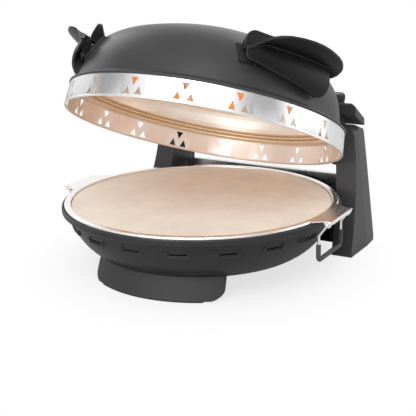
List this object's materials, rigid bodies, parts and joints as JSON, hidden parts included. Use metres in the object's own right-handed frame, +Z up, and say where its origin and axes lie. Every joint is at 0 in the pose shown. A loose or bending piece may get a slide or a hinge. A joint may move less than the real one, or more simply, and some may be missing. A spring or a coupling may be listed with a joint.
{
  "type": "electric pizza maker",
  "caption": "Countertop pizza oven: a stone tray with swinging wire handles in a round black base, under a domed lid hinged between two rear towers.",
  "frame": {"origin": "centre of the footprint on the table, under the feet", "axes": "+Z up, -Y to the front where the lid opens, +X to the right side seen from the front"},
  "size_m": [0.362, 0.365, 0.295],
  "materials": {
    "black_steel": "satin black enamel",
    "dome_steel": "satin charcoal enamel",
    "dark_steel": "matt",
    "bright_steel": "bright",
    "stainless": "brushed, bright",
    "screw_steel": "zinc-plated",
    "element": "heat-darkened steel sheath",
    "glowing_element": "glowing hot sheath",
    "black_plastic": "fine matt grain",
    "tower_plastic": "satin",
    "head_plastic": "satin",
    "handle_plastic": "satin",
    "pad_plastic": "matt",
    "knob_plastic": "ribbed",
    "pad_rubber": "matt",
    "gland_rubber": "matt",
    "sleeve_silicone": "matt silicone",
    "ceramic": "glazed",
    "stone": "unglazed cordierite",
    "bail_chrome": "polished",
    "tan_metal": "heat-tinted steel",
    "reflector_metal": "bright, warm",
    "insulation": "mineral wool",
    "fuse_brass": "plain"
  },
  "bodies": {
    "base": {"base_bowl": "black_steel", "base_reflector": "bright_steel", "lower_element": "element", "lower_element_clips": "bright_steel", "bottom_plate": "dark_steel", "bottom_screws": "screw_steel", "front_foot": "black_plastic", "foot_pads": "pad_rubber", "rear_housing": "black_plastic", "rear_bridge": "stainless", "cord_gland": "gland_rubber", "terminal_block": "ceramic", "right_tower": "tower_plastic", "left_tower": "tower_plastic", "right_tower_back": "black_plastic", "left_tower_back": "black_plastic", "tower_back_screws": "screw_steel", "right_tower_head": "head_plastic", "left_tower_head": "head_plastic", "hinge_pins": "screw_steel", "thermostat": "screw_steel"},
    "tray": {"pizza_stone": "stone", "tray_hoop": "stainless"},
    "bail_right": {"right_bail": "bail_chrome", "right_bail_sleeve": "sleeve_silicone"},
    "bail_left": {"left_bail": "bail_chrome", "left_bail_sleeve": "sleeve_silicone"},
    "lid": {"lid_dome": "dome_steel", "lid_band": "stainless", "lid_flange": "tan_metal", "lid_reflector": "reflector_metal", "lid_insulation": "insulation", "upper_element": "glowing_element", "upper_element_clips": "bright_steel", "lid_fuse": "fuse_brass", "right_lid_handle": "handle_plastic", "left_lid_handle": "handle_plastic", "right_handle_pad": "pad_plastic", "left_handle_pad": "pad_plastic", "handle_screws": "screw_steel", "right_lid_arm": "black_plastic", "left_lid_arm": "black_plastic", "arm_screws": "screw_steel"},
    "knob": {"thermostat_knob": "knob_plastic"}
  },
  "joints": [
    {"name": "lid_hinge", "type": "hinge", "parent": "base", "child": "lid", "pos_m": [0, 0.1647, 0.1072], "axis": [-1, 0, 0], "range_deg": [-23.94, 0.5]},
    {"name": "tray_lift", "type": "slide", "parent": "base", "child": "tray", "axis": [0, 0, 1], "range_m": [0, 0.0065]},
    {"name": "right_bail_swing", "type": "hinge", "parent": "tray", "child": "bail_right", "pos_m": [0.1755, -0.0155, 0.08], "axis": [0, -1, 0], "range_deg": [0, 95]},
    {"name": "left_bail_swing", "type": "hinge", "parent": "tray", "child": "bail_left", "pos_m": [-0.1755, -0.0155, 0.08], "axis": [0, 1, 0], "range_deg": [0, 95]},
    {"name": "knob_turn", "type": "hinge", "parent": "base", "child": "knob", "pos_m": [0.1106, 0.1345, 0.19], "axis": [0, 0, -1], "range_deg": [0, 270]}
  ]
}
